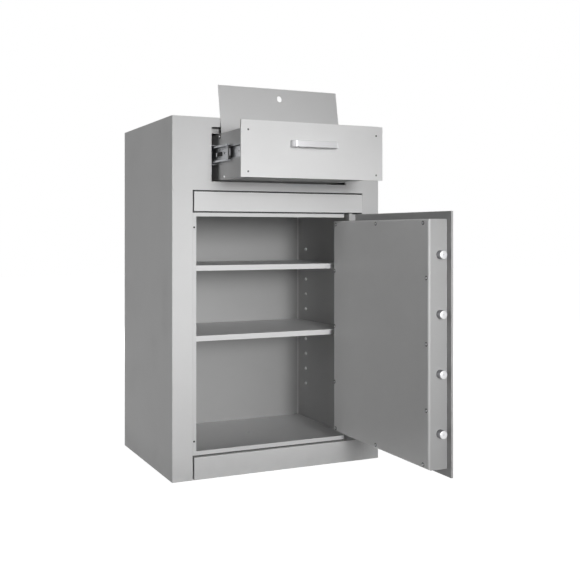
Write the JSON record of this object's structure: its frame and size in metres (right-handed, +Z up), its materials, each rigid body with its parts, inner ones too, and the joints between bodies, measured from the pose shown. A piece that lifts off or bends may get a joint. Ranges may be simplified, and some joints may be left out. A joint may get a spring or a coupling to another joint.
{
  "type": "drop safe with deposit drawer",
  "caption": "Double-walled steel drop safe: hinged door with sliding lock bolts, adjustable shelves, and a deposit drawer with lid, drop flap and chute on telescopic slides.",
  "frame": {"origin": "centre of the bounding box on the floor, with the door open and the drawer out as at rest", "axes": "+Z up, +X to the right as seen from the front, -Y out of the front"},
  "size_m": [0.65, 0.974, 1.0942],
  "materials": {
    "grey_paint": "light grey fine-textured powder coat",
    "lining_paint": "grey powder coat",
    "shelf_paint": "light grey powder coat",
    "door_paint": "mid grey powder coat",
    "drawer_paint": "light grey powder coat",
    "zinc_steel": "zinc-plated",
    "bright_steel": "turned bright steel",
    "chromed": "chrome plate",
    "brass": "satin"
  },
  "bodies": {
    "cabinet": {"outer_casing": "grey_paint", "back_panel": "grey_paint", "base_panel": "grey_paint", "upper_filler_panel": "grey_paint", "plinth_panel": "grey_paint", "door_frame": "grey_paint", "left_lining": "lining_paint", "right_lining": "lining_paint", "back_lining": "lining_paint", "hinge_channel": "lining_paint", "floor_plate": "lining_paint", "ceiling_plate": "lining_paint", "drop_chute": "lining_paint", "drawer_deck": "grey_paint", "lower_shelf": "shelf_paint", "lower_shelf_clip_left_front": "zinc_steel", "lower_shelf_clip_left_rear": "zinc_steel", "lower_shelf_clip_right_front": "zinc_steel", "lower_shelf_clip_right_rear": "zinc_steel", "upper_shelf": "shelf_paint", "upper_shelf_clip_left_front": "zinc_steel", "upper_shelf_clip_left_rear": "zinc_steel", "upper_shelf_clip_right_front": "zinc_steel", "upper_shelf_clip_right_rear": "zinc_steel", "upper_hinge_bush": "grey_paint", "lower_hinge_bush": "grey_paint", "lintel_rail": "grey_paint", "slide_bracket_left": "grey_paint", "slide_bracket_right": "grey_paint", "slide_outer_left": "zinc_steel", "slide_outer_right": "zinc_steel"},
    "door": {"door_plate": "door_paint", "door_pan": "door_paint", "door_pivot_rod": "zinc_steel", "bolt_guide": "zinc_steel", "lock_case": "zinc_steel", "handle_rose": "chromed", "keyhole_plate": "chromed"},
    "boltwork": {"bolt_bar": "zinc_steel", "lock_bolt_1": "bright_steel", "lock_bolt_2": "bright_steel", "lock_bolt_3": "bright_steel", "lock_bolt_4": "bright_steel"},
    "handle": {"handle_spindle": "zinc_steel", "lever_handle": "chromed"},
    "key": {"key_plug": "brass"},
    "drawer": {"drawer_front": "drawer_paint", "drawer_box": "drawer_paint", "front_ledge": "drawer_paint", "drawer_handle": "chromed", "flap_rod": "zinc_steel", "lid_rod": "zinc_steel", "slide_inner_left": "zinc_steel", "slide_inner_right": "zinc_steel"},
    "slide_middles": {"slide_middle_left": "zinc_steel", "slide_middle_right": "zinc_steel"},
    "drawer_lid": {"lid": "drawer_paint"},
    "flap": {"drop_flap": "drawer_paint"}
  },
  "joints": [
    {"name": "door_hinge", "type": "hinge", "parent": "cabinet", "child": "door", "pos_m": [0.2369, 0.01551, 0.4], "axis": [0, 0, 1], "range_deg": [-89.6, 20.4]},
    {"name": "bolt_throw", "type": "slide", "parent": "door", "child": "boltwork", "axis": [0.007, 1, 0], "range_m": [0, 0.01415]},
    {"name": "handle_turn", "type": "hinge", "parent": "door", "child": "handle", "pos_m": [0.25291, -0.34151, 0.4], "axis": [-1, 0.007, 0], "range_deg": [0, 90]},
    {"name": "key_turn", "type": "hinge", "parent": "door", "child": "key", "pos_m": [0.25291, -0.34151, 0.475], "axis": [-1, 0.007, 0], "range_deg": [0, 90]},
    {"name": "drawer_slide", "type": "slide", "parent": "cabinet", "child": "drawer", "axis": [0, -1, 0], "range_m": [0, 0.12]},
    {"name": "slide_travel", "type": "slide", "parent": "cabinet", "child": "slide_middles", "axis": [0, -1, 0], "range_m": [0, 0.06]},
    {"name": "lid_hinge", "type": "hinge", "parent": "drawer", "child": "drawer_lid", "pos_m": [0, -0.00699, 0.947], "axis": [1, 0, 0], "range_deg": [0, 101]},
    {"name": "flap_hinge", "type": "hinge", "parent": "drawer", "child": "flap", "pos_m": [0, -0.01299, 0.8312], "axis": [1, 0, 0], "range_deg": [0, 75], "stiffness_Nm_per_rad": 1, "springref_deg": -85.94}
  ],
  "couplings": [
    {"joint": "bolt_throw", "follows": "handle_turn", "m_per_rad": 0.0090032},
    {"joint": "slide_travel", "follows": "drawer_slide", "ratio": 0.5}
  ]
}
